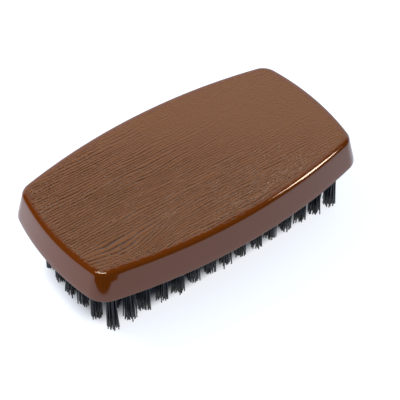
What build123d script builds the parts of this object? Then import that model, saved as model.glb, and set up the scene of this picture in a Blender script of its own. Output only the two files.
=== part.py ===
from build123d import *
from math import radians, sqrt, tan
import os

# Beard brush of the palm-held kind: a moulded plastic back, hollow underneath, with a
# tufted plate seated in it. Each tuft is a bundle folded over a flat-wire anchor that is
# driven into a blind hole of the plate.
#
# Millimetres. +X runs along the brush, +Z points out of its back. The origin is below the
# middle of the brush, on the plane of the bristle tips, where the brush stands.

# The back, measured at its bottom edge before that edge is broken
back_length = 120.0
back_width = 68.4
back_height = 11.2
side_radius = 216.0             # bow of the long sides, in plan
end_radius = 99.5               # bow of the ends, in plan
corner_radius = 8.9
wall_draft = 13.5               # degrees that the side wall leans inwards
rim_radius = 1.75               # round edge between the wall and the flat top
foot_edge_radius = 0.35         # small break at the wall's bottom edge

# Inside the back
wall_thickness = 2.2            # at the bottom edge
pocket_draft = 5.0              # degrees, of the plate's edge and the pocket that holds it
top_thickness = 2.4
ledge_width = 1.6               # shelf that the plate seats on, all round
rib_thickness = 1.4
cross_ribs = 5
long_ribs = 2
least_corner_radius = 1.0       # of the inner corners, where the wall grows thick

# The tufted plate
plate_thickness = 6.0
plate_recess = 0.3              # plate's underside above the wall's bottom edge
plate_clearance = 0.15          # between the plate's edge and the wall

# The tufts
tufts_along = 15
tufts_across = 7
bristle_length = 22.0           # from the wall's bottom edge down to the tips
root_radius = 1.5               # inside the hole
tip_radius = 2.2                # where the trimmed filaments spread
root_clearance = 0.05           # between a tuft and its hole
hole_floor = 1.0                # plate left above a hole
side_hole_wall = 2.6            # plate left between the corner holes and the long sides
end_hole_wall = 4.4             # and between them and the ends, at their deep end

# The anchors, flat wire set on edge across each hole
anchor_thickness = 0.3
anchor_height = 1.6
anchor_bite = 0.2               # driven into the plate at each end
fold_thickness = 0.8            # bundle between the anchor and the floor of the hole

# Heights
back_bottom = bristle_length
back_top = back_bottom + back_height
plate_bottom = back_bottom + plate_recess
plate_top = plate_bottom + plate_thickness
hollow_top = back_top - top_thickness

# How far in from the back's outline the plate and the hollow above it begin
pocket_slope = tan(radians(pocket_draft))
plate_bottom_inset = wall_thickness + plate_recess * pocket_slope + plate_clearance
plate_top_inset = plate_bottom_inset + plate_thickness * pocket_slope
hollow_inset = plate_top_inset + ledge_width

# Centre of the +X end's arc, on the X axis
end_centre_x = back_length / 2 - end_radius

# Holes and tufts
hole_radius = root_radius + root_clearance
hole_depth = plate_thickness - hole_floor
root_depth = hole_depth - root_clearance
anchor_top = plate_bottom + root_depth - fold_thickness
anchor_bottom = anchor_top - anchor_height
anchor_width = 2 * (hole_radius + anchor_bite)


def arc_meeting(side_inset, end_inset):
    """Point in the +X +Y quarter where a side arc and an end arc, each moved in, meet."""
    side_r = side_radius - side_inset
    end_r = end_radius - end_inset
    side_centre = Vector(0, back_width / 2 - side_radius)
    end_centre = Vector(end_centre_x, 0)
    span = end_centre - side_centre
    along = (span.length**2 + side_r**2 - end_r**2) / (2 * span.length)
    across = sqrt(side_r**2 - along**2)
    toward_end = span.normalized()
    return side_centre + toward_end * along + Vector(toward_end.Y, -toward_end.X) * across


def plan(inset):
    """The back's outline moved in: bowed sides and ends, joined by round corners."""
    corner = arc_meeting(inset, inset)
    right = back_length / 2 - inset
    back = back_width / 2 - inset
    with BuildSketch(Plane.XY, mode=Mode.PRIVATE) as outline:
        with BuildLine():
            ThreePointArc((corner.X, -corner.Y), (right, 0), (corner.X, corner.Y))
            ThreePointArc((corner.X, corner.Y), (0, back), (-corner.X, corner.Y))
            ThreePointArc((-corner.X, corner.Y), (-right, 0), (-corner.X, -corner.Y))
            ThreePointArc((-corner.X, -corner.Y), (0, -back), (corner.X, -corner.Y))
        make_face()
        fillet(outline.vertices(), max(corner_radius - inset, least_corner_radius))
    return outline.sketch


# The tufts stand in straight lines along the brush. Across it their rows bow with the ends,
# less and less towards the middle row, which is straight.
hole_end_inset = plate_top_inset + end_hole_wall + hole_radius
corner_tuft = arc_meeting(plate_top_inset + side_hole_wall + hole_radius, hole_end_inset)
tuft_pitch_y = 2 * corner_tuft.Y / (tufts_across - 1)
tuft_ys = [(i - (tufts_across - 1) / 2) * tuft_pitch_y for i in range(tufts_across)]
end_row_xs = [end_centre_x + sqrt((end_radius - hole_end_inset) ** 2 - y**2) for y in tuft_ys]
middle_row = (tufts_along - 1) / 2
tuft_places = [
    [(x * (row - middle_row) / middle_row, y) for x, y in zip(end_row_xs, tuft_ys)]
    for row in range(tufts_along)
]
print(f"corner tuft at {corner_tuft.X:.2f}, {corner_tuft.Y:.2f} mm")
print(f"tuft pitch {corner_tuft.X / middle_row:.2f} by {tuft_pitch_y:.2f} mm")

os.makedirs("parts", exist_ok=True)

# Moulded back: drafted wall, flat top with a round rim, a pocket for the plate and a
# shallow ribbed hollow above it
with BuildPart() as back_shell:
    with BuildSketch(Plane.XY.offset(back_bottom)):
        add(plan(0))
    extrude(amount=back_height, taper=wall_draft)
    fillet(back_shell.faces().sort_by(Axis.Z)[-1].edges(), rim_radius)
    fillet(back_shell.faces().sort_by(Axis.Z)[0].edges(), foot_edge_radius)
    with BuildSketch(Plane.XY.offset(back_bottom)):
        add(plan(wall_thickness))
    extrude(amount=plate_top - back_bottom, taper=pocket_draft, mode=Mode.SUBTRACT)
    with BuildSketch(Plane.XY.offset(plate_top)):
        add(plan(hollow_inset))
        with GridLocations(back_length / (cross_ribs + 1), 0, cross_ribs, 1):
            Rectangle(rib_thickness, back_width, mode=Mode.SUBTRACT)
        with GridLocations(0, back_width / (long_ribs + 1), 1, long_ribs):
            Rectangle(back_length, rib_thickness, mode=Mode.SUBTRACT)
    extrude(amount=hollow_top - plate_top, mode=Mode.SUBTRACT)

back_shell.part.label = "back_shell"
export_step(back_shell.part, "parts/back_shell.step")

# Tufted plate: seats on the ledge and the ribs, with one blind hole for each tuft
with BuildPart() as bristle_plate:
    with BuildSketch(Plane.XY.offset(plate_bottom)):
        add(plan(plate_bottom_inset))
    extrude(amount=plate_thickness, taper=pocket_draft)
    with BuildSketch(Plane.XY.offset(plate_bottom)):
        with Locations([place for row_places in tuft_places for place in row_places]):
            Circle(hole_radius)
    extrude(amount=hole_depth, mode=Mode.SUBTRACT)

bristle_plate.part.label = "bristle_plate"
export_step(bristle_plate.part, "parts/bristle_plate.step")

# Tufts and their anchors, one node of each for every row across the brush
for row, row_places in enumerate(tuft_places, start=1):
    with BuildPart() as tuft_row:
        with Locations([(x, y, 0) for x, y in row_places]):
            Cone(tip_radius, root_radius, plate_bottom, align=(Align.CENTER, Align.CENTER, Align.MIN))
        with BuildSketch(Plane.XY.offset(plate_bottom)):
            with Locations(row_places):
                Circle(root_radius)
        extrude(amount=root_depth)
        with BuildSketch(Plane.XY.offset(anchor_bottom)):
            with Locations(row_places):
                Rectangle(anchor_width, anchor_thickness)
        extrude(amount=anchor_height, mode=Mode.SUBTRACT)

    tuft_row.part.label = f"tuft_row_{row:02d}"
    export_step(tuft_row.part, f"parts/tuft_row_{row:02d}.step")

    with BuildPart() as anchor_row:
        with BuildSketch(Plane.XY.offset(anchor_bottom)):
            with Locations(row_places):
                Rectangle(anchor_width, anchor_thickness)
        extrude(amount=anchor_height)

    anchor_row.part.label = f"anchor_row_{row:02d}"
    export_step(anchor_row.part, f"parts/anchor_row_{row:02d}.step")
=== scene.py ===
# Beard brush: moulded brown plastic back with an embossed wood grain, and black nylon tufts.
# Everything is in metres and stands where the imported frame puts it.
import bpy
from functools import partial
from math import atan2, cos, pi, radians, sin, sqrt, tan
from mathutils import Matrix, Vector


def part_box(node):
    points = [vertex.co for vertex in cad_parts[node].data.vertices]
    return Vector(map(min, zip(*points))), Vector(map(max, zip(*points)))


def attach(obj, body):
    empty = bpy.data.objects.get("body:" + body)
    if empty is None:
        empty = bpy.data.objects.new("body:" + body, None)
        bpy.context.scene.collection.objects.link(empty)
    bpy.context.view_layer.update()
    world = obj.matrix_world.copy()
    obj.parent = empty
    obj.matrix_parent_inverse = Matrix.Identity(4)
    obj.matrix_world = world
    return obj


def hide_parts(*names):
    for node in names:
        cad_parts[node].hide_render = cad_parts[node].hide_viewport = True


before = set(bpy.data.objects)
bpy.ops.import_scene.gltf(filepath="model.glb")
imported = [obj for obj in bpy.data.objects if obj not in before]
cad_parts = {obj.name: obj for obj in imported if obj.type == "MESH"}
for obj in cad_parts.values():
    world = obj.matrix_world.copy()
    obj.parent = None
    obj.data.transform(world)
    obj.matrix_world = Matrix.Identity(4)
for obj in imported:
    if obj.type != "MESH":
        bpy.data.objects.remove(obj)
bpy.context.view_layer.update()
mm = 0.001
print("frame loaded:", len(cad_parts), "nodes")


def toLinear(hexColour):    # "#rrggbb" in sRGB to linear red, green, blue, alpha
    channels = [int(hexColour[i:i + 2], 16) / 255 for i in (1, 3, 5)]
    return [c / 12.92 if c <= 0.04045 else ((c + 0.055) / 1.055) ** 2.4 for c in channels] + [1.0]


# sockets: name or number to a value, another node's output, or a node for its first output
def addNode(tree, kind, sockets=None, **settings):
    node = tree.nodes.new(kind)
    for name, value in settings.items():
        setattr(node, name, value)
    for name, value in (sockets or {}).items():
        usable = [s for s in node.inputs if s.enabled]
        socket = usable[name] if isinstance(name, int) else next(s for s in usable if s.name == name)
        if isinstance(value, bpy.types.Node):
            value = next(s for s in value.outputs if s.enabled)
        if isinstance(value, bpy.types.NodeSocket):
            tree.links.new(value, socket)
        else:
            socket.default_value = value
    return node


def emptyMaterial(name):
    material = bpy.data.materials.new(name)
    material.use_nodes = True
    material.node_tree.nodes.clear()
    return material


# inputs: socket name to (kind, value); gives the tree, the outputs of its group input, and the identifiers
def emptyTree(name, inputs):
    tree = bpy.data.node_groups.new(name, "GeometryNodeTree")
    tree.interface.new_socket("Geometry", in_out="INPUT", socket_type="NodeSocketGeometry")
    tree.interface.new_socket("Geometry", in_out="OUTPUT", socket_type="NodeSocketGeometry")
    identifiers = {}
    for label, (kind, value) in inputs.items():
        socket = tree.interface.new_socket(label, in_out="INPUT", socket_type="NodeSocket" + kind)
        if kind != "Material":
            socket.default_value = value
        identifiers[label] = socket.identifier
    return tree, addNode(tree, "NodeGroupInput").outputs, identifiers


def addMesh(name, points, faces):
    mesh = bpy.data.meshes.new(name)
    mesh.from_pydata(points, [], faces)
    mesh.validate()
    thing = bpy.data.objects.new(name, mesh)
    bpy.context.scene.collection.objects.link(thing)
    return thing


def applyTree(thing, tree, identifiers, inputs):    # runs the tree and keeps its result as a plain mesh
    modifier = thing.modifiers.new(tree.name, "NODES")
    modifier.node_group = tree
    for label, value in inputs.items():
        modifier[identifiers[label]] = value
    depsgraph = bpy.context.evaluated_depsgraph_get()
    result = bpy.data.meshes.new_from_object(thing.evaluated_get(depsgraph), depsgraph=depsgraph)
    thing.modifiers.clear()
    thing.data = result
    result.name = thing.name
    result.shade_smooth()


cameraView = {
    "azimuth": -36.6,       # degrees; 0 looks along +Y
    "elevation": 45.7,
    "distance": 0.5022,
    "lens": 128.1,          # mm
    "sensorWidth": 36.0,    # mm
    "shiftX": 0.0277,
    "shiftY": -0.0645,
    "clipStart": 0.01,
}


def placeCamera():
    azimuth = radians(cameraView["azimuth"])
    elevation = radians(cameraView["elevation"])
    away = Vector((sin(azimuth) * cos(elevation), -cos(azimuth) * cos(elevation), sin(elevation)))
    low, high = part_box("back_shell")
    target = (Vector(low) + Vector(high)) / 2
    data = bpy.data.cameras.new("studioCamera")
    data.lens = cameraView["lens"]
    data.sensor_width = cameraView["sensorWidth"]
    data.shift_x = cameraView["shiftX"]
    data.shift_y = cameraView["shiftY"]
    data.clip_start = cameraView["clipStart"]
    camera = bpy.data.objects.new("studioCamera", data)
    camera.location = target + away * cameraView["distance"]
    camera.rotation_euler = (-away).to_track_quat("-Z", "Y").to_euler()
    bpy.context.scene.collection.objects.link(camera)
    bpy.context.scene.camera = camera


studio = {
    "floorSize": 3.0,
    "floorColour": "#98a0aa",           # it glows as well, so it is white to the eye
    "floorGlow": 0.78,
    "paintedShadowHalf": (0.054, 0.022),        # half size of the painted shadow under the brush: a patch where the floor doesn't glow
    "paintedShadowFade": (0.4, 1.4),            # where the glow starts and is full; 1 is the edge of that patch
    "fillColour": "#d6e6ff",            # cool light from all round, which is all that reaches the shadows
    "fillStrength": 1.42,
    "cameraSideFill": 0.55,             # share of it that comes from the camera's side
    "cameraSideEdge": (-0.9, 0.0),      # where that side is weakest and ends, as a cosine
    "backdropStrength": 1.3,            # what gloss sees behind the brush
    "backdropEdge": (0.48, 0.66),       # where it starts and is full, as a cosine
    "fanCentre": (-0.0505, -0.029),     # painted reflection: dark fan-shaped card that only gloss sees, from under the near corner toward the camera
    "fanStart": 0.058,
    "fanReach": 1.2,
    "fanAngles": (-55, 38),             # degrees either side of the camera's direction
    "fanRound": 0.17,                   # how much farther off its near edge lies at the sides
    "fanSteps": 16,
    "fanHeight": 0.2 * mm,
    "keyPlace": (-0.35, 0.55, 0.75),    # soft light from behind the brush, which gloss doesn't see
    "keySize": 0.5,
    "keyPower": 7.0,
    "keyColour": "#fff4e6",
}

# soft boxes that only gloss sees: one for the glint on the near corner, one for the line on the front rim
glossBoxes = {
    "cornerBox": {"place": (-0.15, 0.01, 0.53), "along": (0.7, -0.7, 0), "width": 0.26, "height": 0.045,
                  "power": 1.7, "colour": "#fff2dc"},
    "rimBox": {"place": (0.42, -0.19, 0.52), "along": (0.6, -0.8, 0), "width": 0.30, "height": 0.10,
               "power": 3.4, "colour": "#ffe4cf"},
}


def aimedLight(name, place, along, width, height, power, colour):    # aimed at the origin, under the brush
    data = bpy.data.lights.new(name, "AREA")
    data.shape = "RECTANGLE"
    data.size = width
    data.size_y = height
    data.energy = power
    data.color = toLinear(colour)[:3]
    light = bpy.data.objects.new(name, data)
    away = Vector(place).normalized()
    side = (Vector(along) - away * away.dot(Vector(along))).normalized()
    light.location = place
    light.rotation_euler = Matrix((side, away.cross(side), away)).transposed().to_euler()
    bpy.context.scene.collection.objects.link(light)
    return light


# glowing floor with a painted shadow right under the brush, where it doesn't glow, and the dark card that
# gloss alone sees, which paints a dark reflection
def layFloor(toward):
    half = studio["floorSize"] / 2
    corners = [(-half, -half, 0), (half, -half, 0), (half, half, 0), (-half, half, 0)]
    floor = addMesh("studioFloor", corners, [(0, 1, 2, 3)])
    material = emptyMaterial("glowingFloorPaintedShadow")
    add = partial(addNode, material.node_tree)
    place = add("ShaderNodeTexCoord").outputs["Object"]
    patch = add("ShaderNodeVectorMath", {0: place, 1: studio["paintedShadowHalf"] + (1,)}, operation="DIVIDE")
    square = add("ShaderNodeVectorMath", {0: patch, 1: patch}, operation="MULTIPLY")
    reach = add("ShaderNodeVectorMath", {0: square, 1: square}, operation="DOT_PRODUCT").outputs["Value"]
    start, full = studio["paintedShadowFade"]
    # painted shadow: the floor's glow is held down in a patch under the brush
    glow = add("ShaderNodeMapRange", {"Value": reach, "From Min": start, "From Max": full,
                                      "To Max": studio["floorGlow"]}, interpolation_type="SMOOTHSTEP")
    matt = add("ShaderNodeBsdfDiffuse", {"Color": toLinear(studio["floorColour"])})
    light = add("ShaderNodeEmission", {"Strength": glow})
    both = add("ShaderNodeAddShader", {0: matt, 1: light})
    add("ShaderNodeOutputMaterial", {"Surface": both})
    floor.data.materials.append(material)

    first, last = studio["fanAngles"]
    steps = studio["fanSteps"]
    middle = atan2(toward.y, toward.x)
    shares = [i / steps for i in range(steps + 1)]
    ends = [(share, studio["fanStart"] * (1 + studio["fanRound"] * (2 * share - 1) ** 2)) for share in shares]
    ends += [(share, studio["fanReach"]) for share in reversed(shares)]
    x, y = studio["fanCentre"]
    corners = []
    for share, reach in ends:
        angle = middle + radians(first + (last - first) * share)
        corners.append((x + reach * cos(angle), y + reach * sin(angle), studio["fanHeight"]))
    card = addMesh("paintedReflectionCard", corners, [tuple(range(len(corners)))])
    material = emptyMaterial("paintedReflectionBlack")
    matt = addNode(material.node_tree, "ShaderNodeBsdfDiffuse", {"Color": toLinear("#000000")})
    addNode(material.node_tree, "ShaderNodeOutputMaterial", {"Surface": matt})
    card.data.materials.append(material)
    # only gloss sees the card, so it paints a dark reflection on the brush's near wall and rim and nothing
    # else
    for ray in ("camera", "diffuse", "shadow", "transmission", "volume_scatter"):
        setattr(card, "visible_" + ray, False)


# white to the eye, a cool fill for matt surfaces, and for gloss a bright backdrop behind the brush
def lightRoom(toward):
    world = bpy.data.worlds.new("studioRoom")
    bpy.context.scene.world = world
    world.use_nodes = True
    world.node_tree.nodes.clear()
    add = partial(addNode, world.node_tree)
    direction = add("ShaderNodeTexCoord").outputs["Generated"]
    behind = add("ShaderNodeVectorMath", {0: direction, 1: tuple(-toward)}, operation="DOT_PRODUCT")
    behind = behind.outputs["Value"]    # 1 straight behind the brush, -1 at the camera's side
    start, full = studio["backdropEdge"]
    glow = add("ShaderNodeMapRange", {"Value": behind, "From Min": start, "From Max": full, "To Min": 0.0,
                                      "To Max": studio["backdropStrength"]})
    white = toLinear("#ffffff")
    gloss = add("ShaderNodeBackground", {"Color": white, "Strength": glow})
    weakest, end = studio["cameraSideEdge"]
    strength = add("ShaderNodeMapRange", {
        "Value": behind, "From Min": weakest, "From Max": end,
        "To Min": studio["fillStrength"] * studio["cameraSideFill"], "To Max": studio["fillStrength"]})
    fill = add("ShaderNodeBackground", {"Color": toLinear(studio["fillColour"]), "Strength": strength})
    seen = add("ShaderNodeBackground", {"Color": white, "Strength": 1.0})
    path = add("ShaderNodeLightPath")
    unseen = add("ShaderNodeMixShader", {0: path.outputs["Is Glossy Ray"], 1: fill, 2: gloss})
    room = add("ShaderNodeMixShader", {0: path.outputs["Is Camera Ray"], 1: unseen, 2: seen})
    add("ShaderNodeOutputWorld", {"Surface": room})


def lightStudio():
    azimuth = radians(cameraView["azimuth"])
    toward = Vector((sin(azimuth), -cos(azimuth), 0))
    layFloor(toward)
    lightRoom(toward)
    key = aimedLight("keyLight", studio["keyPlace"], (1, 0, 0), studio["keySize"], studio["keySize"],
                     studio["keyPower"], studio["keyColour"])
    key.visible_glossy = False
    for name, box in glossBoxes.items():
        aimedLight(name, **box).visible_diffuse = False
    bpy.context.scene.view_settings.view_transform = "Standard"


placeCamera()
lightStudio()
print("camera and studio ready")


back = {
    "sideRadius": 216.0 * mm,       # plan: bow of the long sides and of the ends
    "endRadius": 99.5 * mm,
    "cornerRadius": 8.9 * mm,
    "length": 120.0 * mm,
    "width": 68.4 * mm,
    "wallDraft": 13.5,              # degrees
    "rimRadius": 1.75 * mm,
    "rollAngle": 13.0,              # degrees, of the top where it meets the rim
    "rollWidth": 1.4 * mm,          # the top rolls over this much before the rim
    "footRadius": 0.35 * mm,
    "wallThickness": 2.2 * mm,
    "pocketDraft": 5.0,
    "ledgeWidth": 1.6 * mm,
    "topThickness": 2.4 * mm,
    "gridAlong": 180,               # top grid: cells longer than wide, lying with the grain
    "gridAcross": 300,
    "cornerSteps": 8,               # of each half corner
    "rimSteps": 9,
    "wallSteps": 4,
    "footSteps": 4,
}
rollDepth = back["rollWidth"] * tan(radians(back["rollAngle"])) / 2


# points and outward normals round the plan, anticlockwise from the middle of the -X -Y corner
def backOutline():
    sideR, endR, cornerR = back["sideRadius"], back["endRadius"], back["cornerRadius"]
    sideC = Vector((0, back["width"] / 2 - sideR))
    endC = Vector((back["length"] / 2 - endR, 0))
    span = endC - sideC
    fromSide, fromEnd = sideR - cornerR, endR - cornerR
    along = (span.length ** 2 + fromSide ** 2 - fromEnd ** 2) / (2 * span.length)
    across = sqrt(fromSide ** 2 - along ** 2)
    unit = span.normalized()
    centre = sideC + unit * along + Vector((unit.y, -unit.x)) * across    # of the +X +Y corner's arc
    sideAngle = atan2(centre.y - sideC.y, centre.x - sideC.x)             # where the side arc ends
    endAngle = atan2(centre.y - endC.y, centre.x - endC.x)                # where the end arc ends
    middle = (sideAngle + endAngle) / 2
    steps = back["cornerSteps"]

    def arc(c, r, start, stop, count):
        angles = [start + (stop - start) * i / count for i in range(count)]
        return [(Vector((c.x + r * cos(t), c.y + r * sin(t))), Vector((cos(t), sin(t)))) for t in angles]

    alongCount = back["gridAlong"] - 2 * steps
    acrossCount = back["gridAcross"] - 2 * steps
    mirrored = Vector((-centre.x, centre.y))
    half = arc(centre, cornerR, middle, sideAngle, steps)
    half += arc(sideC, sideR, sideAngle, pi - sideAngle, alongCount)
    half += arc(mirrored, cornerR, pi - sideAngle, pi - middle, steps)
    half += arc(mirrored, cornerR, pi - middle, pi - endAngle, steps)
    half += arc(Vector((-endC.x, 0)), endR, pi - endAngle, pi + endAngle, acrossCount)
    half += arc(-centre, cornerR, pi + endAngle, pi + middle, steps)
    return [(-p, -n) for p, n in half] + half


# (inset, height) of each loop, from the top's edge over the rim, down the wall, round its foot and up inside
def backSection():
    low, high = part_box("back_shell")
    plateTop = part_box("bristle_plate")[1][2]
    bottom, top = low[2], high[2]
    draft, pocket, roll = radians(back["wallDraft"]), radians(back["pocketDraft"]), radians(back["rollAngle"])
    rim, foot = back["rimRadius"], back["footRadius"]
    rimHeight = top - rollDepth - rim * cos(roll)
    rimInset = (rimHeight + rim * sin(draft) - bottom) * tan(draft) + rim * cos(draft)
    footInset = foot * tan(draft) + foot / cos(draft)
    loops = []
    for i in range(back["rimSteps"] + 1):
        t = pi / 2 - roll + (draft - pi / 2 + roll) * i / back["rimSteps"]
        loops.append((rimInset - rim * cos(t), rimHeight + rim * sin(t)))
    wallTop, wallBottom = loops[-1][1], bottom + foot + foot * sin(draft)
    for i in range(1, back["wallSteps"]):
        height = wallTop + (wallBottom - wallTop) * i / back["wallSteps"]
        loops.append(((height - bottom) * tan(draft), height))
    for i in range(back["footSteps"] + 1):
        t = draft + (-pi / 2 - draft) * i / back["footSteps"]
        loops.append((footInset - foot * cos(t), bottom + foot + foot * sin(t)))
    wall = back["wallThickness"]
    shelf = wall + (plateTop - bottom) * tan(pocket)
    loops += [(wall, bottom), (shelf, plateTop), (shelf + back["ledgeWidth"], plateTop)]
    loops.append((shelf + back["ledgeWidth"], top - back["topThickness"]))
    return loops


def rimGap(x, y, inset):    # distance from the line where the rim begins
    sideC, endC = back["width"] / 2 - back["sideRadius"], back["length"] / 2 - back["endRadius"]
    fromSide = back["sideRadius"] - sqrt(x * x + (abs(y) - sideC) ** 2)
    fromEnd = back["endRadius"] - sqrt((abs(x) - endC) ** 2 + y * y)
    return max(0.0, min(fromSide, fromEnd) - inset)


def makeBack():
    outline = backOutline()
    section = backSection()
    count = len(outline)
    points, faces = [], []
    for inset, height in section:
        points += [(p.x - n.x * inset, p.y - n.y * inset, height) for p, n in outline]
    for ring in range(len(section) - 1):
        for i in range(count):
            j = (i + 1) % count
            faces.append((ring * count + i, (ring + 1) * count + i, (ring + 1) * count + j, ring * count + j))
    last = (len(section) - 1) * count
    faces.append(tuple(reversed(range(last, last + count))))    # ceiling of the hollow, which faces down

    # the top is a grid drawn between its four edges, which are the first loop, and it rolls down to them
    nu, nv = back["gridAlong"], back["gridAcross"]
    edge = [Vector(points[i]) for i in range(count)]
    front = edge[:nu + 1]
    right = edge[nu:nu + nv + 1]
    rear = edge[nu + nv:2 * nu + nv + 1][::-1]
    left = (edge[2 * nu + nv:] + edge[:1])[::-1]
    index = {}
    for i in range(nu + 1):
        index[i, 0] = i
        index[i, nv] = 2 * nu + nv - i
    for j in range(nv + 1):
        index[nu, j] = nu + j
        index[0, j] = (2 * nu + 2 * nv - j) % count
    gaps = [0.0] * len(points)
    for j in range(1, nv):
        v = j / nv
        for i in range(1, nu):
            u = i / nu
            p = front[i] * (1 - v) + rear[i] * v + left[j] * (1 - u) + right[j] * u
            p -= (front[0] * (1 - u) + front[nu] * u) * (1 - v) + (rear[0] * (1 - u) + rear[nu] * u) * v
            gap = rimGap(p.x, p.y, section[0][0])
            p.z += rollDepth * (1 - (1 - min(1.0, gap / back["rollWidth"])) ** 2)
            index[i, j] = len(points)
            points.append(tuple(p))
            gaps.append(gap)
    for j in range(nv):
        for i in range(nu):
            faces.append((index[i, j], index[i + 1, j], index[i + 1, j + 1], index[i, j + 1]))
    shell = addMesh("moulded_back", points, faces)
    shell.data.attributes.new("rimGap", "FLOAT", "POINT").data.foreach_set("value", gaps)
    return shell


grain = {
    "relief": 0.26 * mm,                            # depth of a full groove; a pore in it goes deeper
    "lineSpacing": 1.12 * mm,                       # from groove to groove
    "lineWidth": 0.48,                              # share of the spacing that a groove takes
    "wander": 3.0 * mm,                             # how far the grain strays sideways
    "wanderLength": (34.0 * mm, 12.0 * mm, 1.0),
    "crowding": 2.2 * mm,                           # how far neighbouring grooves close up and part
    "crowdingLength": (16.0 * mm, 4.0 * mm, 1.0),
    "figurePlace": (-44.0 * mm, -21.5 * mm, 0.0),   # the grain opens into an arch here
    "figureSize": (17.0 * mm, 6.5 * mm, 1.0),
    "figureReach": 1.6,                             # how far out the arch still draws, in figure sizes
    "figureLift": 3.0 * mm,
    "dashLength": (12.0 * mm, 0.9 * mm, 1.0),       # a groove's deep stretches
    "dashLeast": 0.50,                              # depth left between them
    "dashNoise": (0.34, 0.54),                      # noise at which a stretch is shallow, and deep
    "patchSize": (26.0 * mm, 12.0 * mm, 1.0),       # areas where the grain is faint
    "patchLeast": 0.70,                             # depth left in them
    "patchNoise": (0.36, 0.56),
    "poreSize": (1.5 * mm, 0.5 * mm, 1.0),          # short pores between the grooves
    "poreDepth": 0.40,                              # share of the relief
    "poreNoise": (0.56, 0.72),                      # noise at which there is no pore, and a full one
    "wearSlant": 1.2,                               # the relief fades along X + 1.2 Y
    "wearStart": -25.0 * mm,
    "wearEnd": 42.0 * mm,
    "wearLeast": 0.14,                              # depth left at the end of that
    "border": 0.8 * mm,                             # ragged plain strip inside the rim
    "borderFade": 1.6,                              # the grain is full at this many borders
    "borderNoise": (1.3 * mm, 0.9 * mm, 1.0),
    "raggedness": 7.0 * mm,                         # how far that strip's edge strays
    "rimStart": 0.1 * mm,                           # no relief nearer the rim than this
    "rimEnd": 0.5 * mm,
    "seed": 4.0,
}


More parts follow.
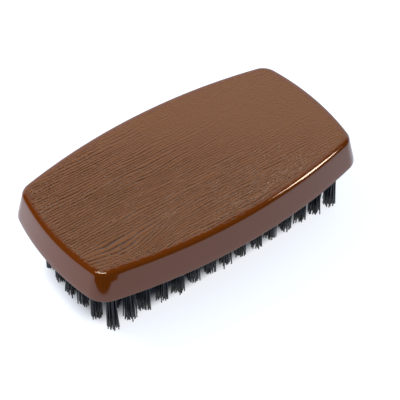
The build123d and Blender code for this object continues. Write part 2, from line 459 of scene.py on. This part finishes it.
def grainTree():    # presses the grain into the top and keeps its depth as an attribute
    tree, get, ids = emptyTree("embossedGrain", {
        "Relief": ("Float", grain["relief"]), "Line Spacing": ("Float", grain["lineSpacing"]),
        "Line Width": ("Float", grain["lineWidth"]), "Wander": ("Float", grain["wander"]),
        "Wander Length": ("Vector", grain["wanderLength"]), "Crowding": ("Float", grain["crowding"]),
        "Crowding Length": ("Vector", grain["crowdingLength"]),
        "Dash Length": ("Vector", grain["dashLength"]),
        "Figure Place": ("Vector", grain["figurePlace"]), "Figure Size": ("Vector", grain["figureSize"]),
        "Figure Reach": ("Float", grain["figureReach"]), "Figure Lift": ("Float", grain["figureLift"]),
        "Patch Size": ("Vector", grain["patchSize"]), "Pore Size": ("Vector", grain["poreSize"]),
        "Pore Depth": ("Float", grain["poreDepth"]), "Wear Start": ("Float", grain["wearStart"]),
        "Wear End": ("Float", grain["wearEnd"]), "Border": ("Float", grain["border"]),
        "Border Noise": ("Vector", grain["borderNoise"]), "Raggedness": ("Float", grain["raggedness"]),
        "Rim Start": ("Float", grain["rimStart"]), "Rim End": ("Float", grain["rimEnd"]),
        "Seed": ("Float", grain["seed"]), "Finish": ("Material", None)})
    add = partial(addNode, tree)
    here = add("GeometryNodeInputPosition")
    place = add("ShaderNodeSeparateXYZ", {0: here})

    # one noise for each length, centred on nought
    waves = {}
    for label in ("Wander Length", "Crowding Length", "Border Noise"):
        scaled = add("ShaderNodeVectorMath", {0: here, 1: get[label]}, operation="DIVIDE")
        noise = add("ShaderNodeTexNoise", {"Vector": scaled, "W": get["Seed"], "Scale": 1.0, "Detail": 1.0},
                    noise_dimensions="4D")
        waves[label] = add("ShaderNodeMath", {0: noise, 1: 0.5}, operation="SUBTRACT")

    # the flow of the grain: y, drawn aside by a slow wander, a quicker crowding and one arched figure
    flow = add("ShaderNodeMath", {0: waves["Wander Length"], 1: get["Wander"], 2: place.outputs["Y"]},
               operation="MULTIPLY_ADD")
    flow = add("ShaderNodeMath", {0: waves["Crowding Length"], 1: get["Crowding"], 2: flow},
               operation="MULTIPLY_ADD")
    fromFigure = add("ShaderNodeVectorMath", {0: here, 1: get["Figure Place"]}, operation="SUBTRACT")
    inFigure = add("ShaderNodeVectorMath", {0: fromFigure, 1: get["Figure Size"]}, operation="DIVIDE")
    reach = add("ShaderNodeVectorMath", {0: inFigure}, operation="LENGTH").outputs["Value"]
    swell = add("ShaderNodeMapRange", {"Value": reach, "From Min": 0.0, "From Max": get["Figure Reach"],
                                       "To Min": 1.0, "To Max": 0.0}, interpolation_type="SMOOTHERSTEP")
    flow = add("ShaderNodeMath", {0: swell, 1: get["Figure Lift"], 2: flow}, operation="MULTIPLY_ADD")

    # one narrow groove to each spacing
    phase = add("ShaderNodeMath", {0: flow, 1: get["Line Spacing"]}, operation="DIVIDE")
    part = add("ShaderNodeMath", {0: phase}, operation="FRACT")
    aside = add("ShaderNodeMath", {0: part, 1: 0.5}, operation="SUBTRACT")
    across = add("ShaderNodeMath", {0: aside}, operation="ABSOLUTE")
    halfWidth = add("ShaderNodeMath", {0: get["Line Width"], 1: 0.5}, operation="MULTIPLY")
    groove = add("ShaderNodeMapRange", {"Value": across, "From Min": 0.0, "From Max": halfWidth,
                                        "To Min": 1.0, "To Max": 0.0}, interpolation_type="SMOOTHSTEP")

    # where a groove runs deep, where whole patches lie faint, and the short pores between
    withGrain = add("ShaderNodeCombineXYZ", {"X": place.outputs["X"], "Y": flow})
    strength = {}
    for label, (low, high), least in (
            ("Dash Length", grain["dashNoise"], grain["dashLeast"]),
            ("Patch Size", grain["patchNoise"], grain["patchLeast"]),
            ("Pore Size", grain["poreNoise"], 0.0)):
        scaled = add("ShaderNodeVectorMath", {0: withGrain, 1: get[label]}, operation="DIVIDE")
        noise = add("ShaderNodeTexNoise", {"Vector": scaled, "W": get["Seed"], "Scale": 1.0, "Detail": 1.0},
                    noise_dimensions="4D")
        strength[label] = add("ShaderNodeMapRange", {"Value": noise, "From Min": low, "From Max": high,
                                                     "To Min": least, "To Max": 1.0},
                              interpolation_type="SMOOTHSTEP")
    depth = add("ShaderNodeMath", {0: groove, 1: strength["Dash Length"]}, operation="MULTIPLY")
    depth = add("ShaderNodeMath", {0: depth, 1: strength["Patch Size"]}, operation="MULTIPLY")
    depth = add("ShaderNodeMath", {0: strength["Pore Size"], 1: get["Pore Depth"], 2: depth},
                operation="MULTIPLY_ADD")

    # the mould was etched deepest at the -X -Y corner
    slant = add("ShaderNodeMath", {0: place.outputs["Y"], 1: grain["wearSlant"], 2: place.outputs["X"]},
                operation="MULTIPLY_ADD")
    wear = add("ShaderNodeMapRange", {
        "Value": slant, "From Min": get["Wear Start"], "From Max": get["Wear End"], "To Min": 1.0,
        "To Max": grain["wearLeast"]}, interpolation_type="SMOOTHSTEP")
    depth = add("ShaderNodeMath", {0: depth, 1: wear}, operation="MULTIPLY")

    # plain ragged border beside the rim
    gap = add("GeometryNodeInputNamedAttribute", {"Name": "rimGap"}, data_type="FLOAT")
    ragged = add("ShaderNodeMath", {0: waves["Border Noise"], 1: get["Raggedness"], 2: gap},
                 operation="MULTIPLY_ADD")
    farEdge = add("ShaderNodeMath", {0: get["Border"], 1: grain["borderFade"]}, operation="MULTIPLY")
    inside = add("ShaderNodeMapRange", {"Value": ragged, "From Min": get["Border"], "From Max": farEdge},
                 interpolation_type="SMOOTHSTEP")
    offRim = add("ShaderNodeMapRange", {"Value": gap, "From Min": get["Rim Start"],
                                        "From Max": get["Rim End"]})
    mask = add("ShaderNodeMath", {0: inside, 1: offRim}, operation="MULTIPLY")
    depth = add("ShaderNodeMath", {0: depth, 1: mask}, operation="MULTIPLY")

    down = add("ShaderNodeMath", {0: depth, 1: get["Relief"]}, operation="MULTIPLY")
    drop = add("ShaderNodeMath", {0: down, 1: -1.0}, operation="MULTIPLY")
    offset = add("ShaderNodeCombineXYZ", {"Z": drop})
    shape = get["Geometry"]
    for name, value in (("grainDepth", depth), ("topMask", mask)):
        shape = add("GeometryNodeStoreNamedAttribute", {"Geometry": shape, "Name": name, "Value": value},
                    data_type="FLOAT", domain="POINT")
    moved = add("GeometryNodeSetPosition", {"Geometry": shape, "Offset": offset})
    real = add("GeometryNodeRealizeInstances", {"Geometry": moved})
    done = add("GeometryNodeSetMaterial", {"Geometry": real, "Material": get["Finish"]})
    addNode(tree, "NodeGroupOutput", {"Geometry": done})
    return tree, ids


# Moulded polystyrene, brown right through: rim and wall shine from the polished mould, and the
# embossed top is duller and faintly pebbled, so its flats look greyer than its grooves, which also carry
# painted shade that darkens with their depth
plastic = {
    "bodyColour": "#5a2805",
    "topColour": "#663707",
    "grooveShadeColour": "#3c1c02",      # painted shade: the same plastic darkened for the light that a narrow groove holds back
    "grooveDepth": (0.05, 0.50),    # shares of the full depth where the painted shade in a groove starts, and is darkest
    "wallRoughness": 0.065,
    "topRoughness": 0.25,
    "ior": 1.46,                    # below polystyrene's own 1.59, for the gloss that this one has
    "pebbleSize": 0.6 * mm,         # of the etched surface, drawn about twice as coarse so that it shows
    "pebbleDepth": 0.18 * mm,
}


def brownPlastic():
    material = emptyMaterial("mouldedBrownPolystyrene")
    add = partial(addNode, material.node_tree)
    place = add("ShaderNodeTexCoord").outputs["Object"]
    mask = add("ShaderNodeAttribute", attribute_name="topMask").outputs["Fac"]
    depth = add("ShaderNodeAttribute", attribute_name="grainDepth").outputs["Fac"]
    colour = add("ShaderNodeMix", {"Factor": mask, "A": toLinear(plastic["bodyColour"]),
                                   "B": toLinear(plastic["topColour"])}, data_type="RGBA")
    shallow, deep = plastic["grooveDepth"]
    # painted shade in the grooves: the deeper the groove, the darker its colour
    grooveShade = add("ShaderNodeMapRange", {"Value": depth, "From Min": shallow, "From Max": deep})
    colour = add("ShaderNodeMix", {"Factor": grooveShade, "A": colour,
                                   "B": toLinear(plastic["grooveShadeColour"])}, data_type="RGBA")
    roughness = add("ShaderNodeMapRange", {"Value": mask, "To Min": plastic["wallRoughness"],
                                           "To Max": plastic["topRoughness"]})
    pebble = add("ShaderNodeTexNoise", {"Vector": place, "Scale": 1 / plastic["pebbleSize"], "Detail": 2.0})
    bump = add("ShaderNodeBump", {"Height": pebble, "Distance": plastic["pebbleDepth"], "Strength": mask})
    shader = add("ShaderNodeBsdfPrincipled", {"Base Color": colour, "Roughness": roughness,
                                              "IOR": plastic["ior"], "Normal": bump})
    add("ShaderNodeOutputMaterial", {"Surface": shader})
    return material


shell = makeBack()
tree, ids = grainTree()
applyTree(shell, tree, ids, {"Finish": brownPlastic()})
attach(shell, "root")
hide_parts("back_shell")
print("back made:", len(shell.data.vertices), "points")


# The plate is the same brown plastic from a plainer mould: satin, with the swirl of its flow
plate = {
    "colour": "#3c1a08",
    "paleColour": "#4a2410",
    "swirlSize": 9.0 * mm,
    "swirlTwist": 1.2,
    "roughness": (0.28, 0.48),
    "grit": 0.5 * mm,
    "gritDepth": 0.02 * mm,
}


def satinPlastic():
    material = emptyMaterial("satinBrownPolystyrene")
    add = partial(addNode, material.node_tree)
    place = add("ShaderNodeTexCoord").outputs["Object"]
    swirl = add("ShaderNodeTexNoise", {"Vector": place, "Scale": 1 / plate["swirlSize"], "Detail": 3.0,
                                       "Distortion": plate["swirlTwist"]})
    colour = add("ShaderNodeMix", {"Factor": swirl, "A": toLinear(plate["colour"]),
                                   "B": toLinear(plate["paleColour"])}, data_type="RGBA")
    smooth, rough = plate["roughness"]
    roughness = add("ShaderNodeMapRange", {"Value": swirl, "To Min": smooth, "To Max": rough})
    grit = add("ShaderNodeTexNoise", {"Vector": place, "Scale": 1 / plate["grit"], "Detail": 2.0})
    bump = add("ShaderNodeBump", {"Height": grit, "Distance": plate["gritDepth"]})
    shader = add("ShaderNodeBsdfPrincipled", {"Base Color": colour, "Roughness": roughness,
                                              "IOR": plastic["ior"], "Normal": bump})
    add("ShaderNodeOutputMaterial", {"Surface": shader})
    return material


# The anchors are cut from flat steel wire, drawn: bright, with fine lines along the wire
wire = {
    "colour": "#b9b6b0",
    "dullColour": "#8f8c87",
    "lineSize": 0.08 * mm,
    "lineLength": 3.0 * mm,
    "roughness": (0.21, 0.42),
    "lineDepth": 0.004 * mm,
}


def drawnSteel():
    material = emptyMaterial("drawnSteelWire")
    add = partial(addNode, material.node_tree)
    place = add("ShaderNodeTexCoord").outputs["Object"]
    scale = (1 / wire["lineLength"], 1 / wire["lineSize"], 1 / wire["lineSize"])
    stretched = add("ShaderNodeMapping", {"Vector": place, "Scale": scale})
    lines = add("ShaderNodeTexNoise", {"Vector": stretched, "Scale": 1.0, "Detail": 2.0})
    colour = add("ShaderNodeMix", {"Factor": lines, "A": toLinear(wire["dullColour"]),
                                   "B": toLinear(wire["colour"])}, data_type="RGBA")
    smooth, rough = wire["roughness"]
    roughness = add("ShaderNodeMapRange", {"Value": lines, "To Min": smooth, "To Max": rough})
    bump = add("ShaderNodeBump", {"Height": lines, "Distance": wire["lineDepth"]})
    shader = add("ShaderNodeBsdfPrincipled", {"Base Color": colour, "Metallic": 1.0, "Roughness": roughness,
                                              "Normal": bump})
    add("ShaderNodeOutputMaterial", {"Surface": shader})
    return material


def finishNodes():    # the CAD nodes that stay get their real finish
    finishes = {"bristle_plate": satinPlastic(), "anchor_row": drawnSteel()}
    for name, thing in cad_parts.items():
        for start, finish in finishes.items():
            if name.startswith(start):
                thing.data.materials.clear()
                thing.data.materials.append(finish)


finishNodes()
print("plate and anchors finished")


tuft = {
    "across": 7,                    # tufts in one row
    "filaments": 42,                # ends in one tuft
    "filamentRadius": 0.24 * mm,
    "rootRadius": 1.45 * mm,        # of the bundle where it leaves the hole
    "tipRadius": 2.15 * mm,
    "inHole": 1.0 * mm,             # length that shows inside the mouth of the hole
    "trim": 1.8 * mm,               # how uneven the cut ends are
    "trimPower": 2.0,               # higher leaves fewer short ones
    "lean": 0.50 * mm,              # stray of one end, at the tip
    "strayLeast": 0.6,              # most ends stray by this share of the lean
    "strayMore": 3.0,               # and a few by this much more
    "strayPower": 9.0,              # higher leaves fewer of those
    "tuftLean": 0.45 * mm,          # lean of a whole tuft, at the tip
    "bend": 1.0 * mm,
    "sides": 6,
    "segments": 4,
    "turn": 2.39996,                # radians from one filament to the next round the bundle
    "seedStep": 10,                 # from one row's seeds to the next row's
}


# a filament on each point of a sunflower spiral round each tuft's point, then leant and bent
def tuftTree():
    tree, get, ids = emptyTree("tuftRow", {
        "Filaments": ("Int", tuft["filaments"]), "Filament Radius": ("Float", tuft["filamentRadius"]),
        "Root Radius": ("Float", tuft["rootRadius"]), "Tip Radius": ("Float", tuft["tipRadius"]),
        "Root Height": ("Float", 0.0), "Trim": ("Float", tuft["trim"]), "Lean": ("Float", tuft["lean"]),
        "Tuft Lean": ("Float", tuft["tuftLean"]), "Bend": ("Float", tuft["bend"]), "Seed": ("Int", 1),
        "Finish": ("Material", None)})
    add = partial(addNode, tree)
    index = add("GeometryNodeInputIndex")
    whichTuft = add("FunctionNodeIntegerMath", {0: index, 1: get["Filaments"]}, operation="DIVIDE")
    inTuft = add("FunctionNodeIntegerMath", {0: index, 1: get["Filaments"]}, operation="MODULO")
    position = add("GeometryNodeInputPosition")
    hole = add("GeometryNodeSampleIndex", {"Geometry": get["Geometry"], "Value": position,
                                           "Index": whichTuft}, data_type="FLOAT_VECTOR", domain="POINT")

    # place in the bundle, nought at its middle and one at its edge
    nth = add("ShaderNodeMath", {0: inTuft, 1: 0.5}, operation="ADD")
    share = add("ShaderNodeMath", {0: nth, 1: get["Filaments"]}, operation="DIVIDE")
    radius = add("ShaderNodeMath", {0: share}, operation="SQRT")
    angle = add("ShaderNodeMath", {0: nth, 1: tuft["turn"], 2: whichTuft}, operation="MULTIPLY_ADD")
    outward = add("ShaderNodeVectorRotate", {"Vector": (1.0, 0.0, 0.0), "Angle": angle},
                  rotation_type="Z_AXIS")
    inBundle = add("ShaderNodeVectorMath", {0: outward, "Scale": radius}, operation="SCALE")

    # chances: three numbers for each filament, then a sideways direction for each stray, bend and tuft
    seeds = [add("FunctionNodeIntegerMath", {0: get["Seed"], 1: step}, operation="ADD") for step in range(4)]
    chance = add("FunctionNodeRandomValue", {"Min": (0, 0, 0), "Max": (1, 1, 1), "ID": index,
                                             "Seed": seeds[0]}, data_type="FLOAT_VECTOR")
    drawn = add("ShaderNodeSeparateXYZ", {0: chance})
    stray, bend, sway = [
        add("FunctionNodeRandomValue", {"Min": (-1, -1, 0), "Max": (1, 1, 0), "ID": key, "Seed": seed},
            data_type="FLOAT_VECTOR")
        for key, seed in ((index, seeds[1]), (index, seeds[2]), (whichTuft, seeds[3]))]

    short = add("ShaderNodeMath", {0: drawn.outputs["X"], 1: tuft["trimPower"]}, operation="POWER")
    cut = add("ShaderNodeMath", {0: short, 1: get["Trim"]}, operation="MULTIPLY")
    length = add("ShaderNodeMath", {0: get["Root Height"], 1: cut}, operation="SUBTRACT")
    rare = add("ShaderNodeMath", {0: drawn.outputs["Y"], 1: tuft["strayPower"]}, operation="POWER")
    wild = add("ShaderNodeMath", {0: rare, 1: tuft["strayMore"], 2: tuft["strayLeast"]},
               operation="MULTIPLY_ADD")
    strayBy = add("ShaderNodeMath", {0: wild, 1: get["Lean"]}, operation="MULTIPLY")
    spreadBy = add("ShaderNodeMath", {0: get["Tip Radius"], 1: get["Root Radius"]}, operation="SUBTRACT")
    lean = add("ShaderNodeVectorMath", {0: inBundle, "Scale": spreadBy}, operation="SCALE")
    for way, amount in ((stray, strayBy), (sway, get["Tuft Lean"])):
        more = add("ShaderNodeVectorMath", {0: way, "Scale": amount}, operation="SCALE")
        lean = add("ShaderNodeVectorMath", {0: lean, 1: more}, operation="ADD")
    bow = add("ShaderNodeVectorMath", {0: bend, "Scale": get["Bend"]}, operation="SCALE")

    # each filament's middle stands half its length below the root
    aside = add("ShaderNodeVectorMath", {0: inBundle, "Scale": get["Root Radius"]}, operation="SCALE")
    root = add("ShaderNodeVectorMath", {0: hole, 1: aside}, operation="ADD")
    halfDown = add("ShaderNodeMath", {0: length, 1: -0.5, 2: get["Root Height"]}, operation="MULTIPLY_ADD")
    lower = add("ShaderNodeCombineXYZ", {"Z": halfDown})
    middle = add("ShaderNodeVectorMath", {0: root, 1: lower}, operation="ADD")
    holes = add("GeometryNodeAttributeDomainSize", {"Geometry": get["Geometry"]}, component="MESH")
    count = add("FunctionNodeIntegerMath", {0: holes.outputs["Point Count"], 1: get["Filaments"]},
                operation="MULTIPLY")
    kept = add("GeometryNodePoints", {"Count": count, "Position": middle})
    for name, kind, value in (
            ("lean", "FLOAT_VECTOR", lean), ("bow", "FLOAT_VECTOR", bow),
            ("strandLength", "FLOAT", length), ("strandShade", "FLOAT", drawn.outputs["Z"])):
        kept = add("GeometryNodeStoreNamedAttribute", {"Geometry": kept, "Name": name, "Value": value},
                   data_type=kind, domain="POINT")
    strand = add("GeometryNodeMeshCylinder", {"Vertices": tuft["sides"], "Side Segments": tuft["segments"],
                                              "Radius": 1.0, "Depth": 1.0}, fill_type="NGON")
    ownLength = add("GeometryNodeInputNamedAttribute", {"Name": "strandLength"}, data_type="FLOAT")
    thick = get["Filament Radius"]
    size = add("ShaderNodeCombineXYZ", {"X": thick, "Y": thick, "Z": ownLength})
    spun = add("GeometryNodeInstanceOnPoints", {"Points": kept, "Instance": strand.outputs["Mesh"],
                                                "Scale": size})
    straight = add("GeometryNodeRealizeInstances", {"Geometry": spun})

    # lean grows from the root to the tip, and the bow is greatest half way
    height = add("ShaderNodeSeparateXYZ", {0: add("GeometryNodeInputPosition")}).outputs["Z"]
    down = add("ShaderNodeMapRange", {"Value": height, "From Min": get["Root Height"], "From Max": 0.0})
    up = add("ShaderNodeMath", {0: 1.0, 1: down}, operation="SUBTRACT")
    along = add("ShaderNodeMath", {0: down, 1: up}, operation="MULTIPLY")
    shape = straight
    for name, amount in (("lean", down), ("bow", along)):
        way = add("GeometryNodeInputNamedAttribute", {"Name": name}, data_type="FLOAT_VECTOR")
        offset = add("ShaderNodeVectorMath", {0: way, "Scale": amount}, operation="SCALE")
        shape = add("GeometryNodeSetPosition", {"Geometry": shape, "Offset": offset})
    real = add("GeometryNodeRealizeInstances", {"Geometry": shape})
    done = add("GeometryNodeSetMaterial", {"Geometry": real, "Material": get["Finish"]})
    addNode(tree, "NodeGroupOutput", {"Geometry": done})
    return tree, ids


# Black nylon monofilament, extruded and drawn: smooth and waxy, with a glint along each strand whose cool
# tint is a painted reflection colour
nylon = {
    "colour": "#010102",
    "paleColour": "#050608",
    "roughness": (0.14, 0.30),
    "drawLines": 0.12 * mm,         # the faint lines of drawing, coarser than real so that they show
    "drawLength": 2.0 * mm,
    "ior": 1.53,
    "specular": 0.20,               # held down, so that the tufts stay near black
    # painted reflection colour: the cool tint given to the strands' glints
    "paintedGlintTint": "#b4ccf0",
}


def blackNylon():
    material = emptyMaterial("blackNylonFilament")
    add = partial(addNode, material.node_tree)
    shade = add("ShaderNodeAttribute", attribute_name="strandShade").outputs["Fac"]
    place = add("ShaderNodeTexCoord").outputs["Object"]
    scale = (1 / nylon["drawLines"], 1 / nylon["drawLines"], 1 / nylon["drawLength"])
    stretched = add("ShaderNodeMapping", {"Vector": place, "Scale": scale})
    streak = add("ShaderNodeTexNoise", {"Vector": stretched, "Scale": 1.0, "Detail": 2.0})
    colour = add("ShaderNodeMix", {"Factor": shade, "A": toLinear(nylon["colour"]),
                                   "B": toLinear(nylon["paleColour"])}, data_type="RGBA")
    smooth, rough = nylon["roughness"]
    roughness = add("ShaderNodeMapRange", {"Value": streak, "To Min": smooth, "To Max": rough})
    shader = add("ShaderNodeBsdfPrincipled", {
        "Base Color": colour, "Roughness": roughness, "IOR": nylon["ior"],
        "Specular IOR Level": nylon["specular"], "Specular Tint": toLinear(nylon["paintedGlintTint"])})
    add("ShaderNodeOutputMaterial", {"Surface": shader})
    return material


# the middle of each tuft, row by row: straight lines along the brush, rows that bow with its ends
def tuftPlaces(names):
    middleLow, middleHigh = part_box(names[len(names) // 2])
    tipRadius = (middleHigh[0] - middleLow[0]) / 2
    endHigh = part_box(names[-1])[1]
    endCentre = back["length"] / 2 - back["endRadius"]
    bowRadius = endHigh[0] - tipRadius - endCentre
    outer = endHigh[1] - tipRadius
    ys = [outer * (2 * i / (tuft["across"] - 1) - 1) for i in range(tuft["across"])]
    half = (len(names) - 1) / 2
    return [[((endCentre + sqrt(bowRadius ** 2 - y * y)) * (row - half) / half, y, 0) for y in ys]
            for row in range(len(names))]


def makeTufts():
    tree, ids = tuftTree()
    finish = blackNylon()
    names = sorted(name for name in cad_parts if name.startswith("tuft_row_"))
    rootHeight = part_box("bristle_plate")[0][2] + tuft["inHole"]
    for number, (name, places) in enumerate(zip(names, tuftPlaces(names))):
        row = addMesh("bristle_row_%02d" % (number + 1), places, [])
        applyTree(row, tree, ids, {"Root Height": rootHeight, "Seed": tuft["seedStep"] * number,
                                   "Finish": finish})
        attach(row, "root")
        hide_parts(name)


makeTufts()
print("tufts made")
